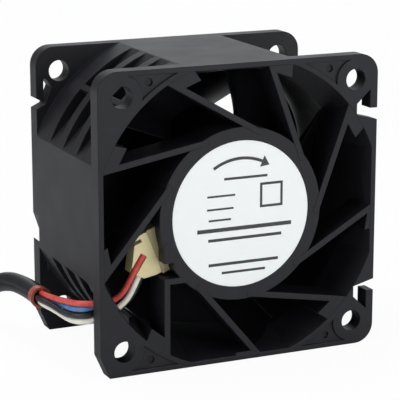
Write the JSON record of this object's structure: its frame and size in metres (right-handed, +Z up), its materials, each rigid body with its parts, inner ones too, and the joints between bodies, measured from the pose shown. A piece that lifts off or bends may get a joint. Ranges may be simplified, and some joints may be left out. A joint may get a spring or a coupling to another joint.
{
  "type": "cooling fan",
  "caption": "Square axial cooling fan with a round duct, twisted rotor blades, straight guide vanes, a motor hub with a label disc and a sleeved wire lead ending in a plug.",
  "frame": {"origin": "middle of the frame's footprint, on the plane of the lower flange edges that it stands on", "axes": "+X to the right seen from the outlet, +Y along the fan's axis from the outlet (label side) to the inlet, +Z up"},
  "size_m": [0.1002, 0.0539, 0.06],
  "materials": {
    "frame_plastic": "satin",
    "impeller_plastic": "satin",
    "plated_steel": "satin",
    "magnet": "matte",
    "brass": "satin",
    "bearing_steel": "polished",
    "core_steel": "satin",
    "insulator_plastic": "matte",
    "copper": "enamelled",
    "board": "satin",
    "chip_plastic": "matte",
    "capacitor_can": "satin",
    "header_plastic": "satin",
    "plated_pins": "polished",
    "plug_plastic": "satin",
    "label_film": "satin",
    "red_insulation": "satin",
    "cream_insulation": "satin",
    "black_insulation": "satin",
    "blue_insulation": "satin",
    "sleeve_rubber": "satin",
    "collar_rubber": "satin",
    "connector_plastic": "satin"
  },
  "bodies": {
    "stator": {"frame": "frame_plastic", "hub_label": "label_film", "bearing_tube": "brass", "rear_bearing_outer_race": "bearing_steel", "front_bearing_outer_race": "bearing_steel", "bearing_shields": "plated_steel", "stator_core": "core_steel", "upper_insulator": "insulator_plastic", "lower_insulator": "insulator_plastic", "coil_windings": "copper", "circuit_board": "board", "driver_chip": "chip_plastic", "hall_sensor": "chip_plastic", "capacitors": "capacitor_can", "board_header": "header_plastic", "header_pins": "plated_pins", "wire_plug": "plug_plastic", "wire_red": "red_insulation", "wire_white": "cream_insulation", "wire_black": "black_insulation", "wire_blue": "blue_insulation", "lead_sleeve": "sleeve_rubber", "sleeve_collar": "collar_rubber", "lead_connector": "connector_plastic"},
    "rotor": {"impeller": "impeller_plastic", "rotor_yoke": "plated_steel", "magnet_ring": "magnet", "shaft_bush": "brass", "shaft": "bearing_steel", "preload_spring": "plated_steel", "retaining_clip": "plated_steel", "rear_bearing_inner_race": "bearing_steel", "front_bearing_inner_race": "bearing_steel"},
    "rear_ball_set": {"rear_bearing_balls": "bearing_steel"},
    "front_ball_set": {"front_bearing_balls": "bearing_steel"}
  },
  "joints": [
    {"name": "rotor_spin", "type": "hinge", "parent": "stator", "child": "rotor", "pos_m": [0, 0, 0.03], "axis": [0, 1, 0], "continuous": true},
    {"name": "rear_balls_orbit", "type": "hinge", "parent": "stator", "child": "rear_ball_set", "pos_m": [0, 0, 0.03], "axis": [0, 1, 0], "continuous": true},
    {"name": "front_balls_orbit", "type": "hinge", "parent": "stator", "child": "front_ball_set", "pos_m": [0, 0, 0.03], "axis": [0, 1, 0], "continuous": true}
  ],
  "couplings": [
    {"joint": "rear_balls_orbit", "follows": "rotor_spin", "ratio": 0.3818},
    {"joint": "front_balls_orbit", "follows": "rotor_spin", "ratio": 0.3818}
  ]
}
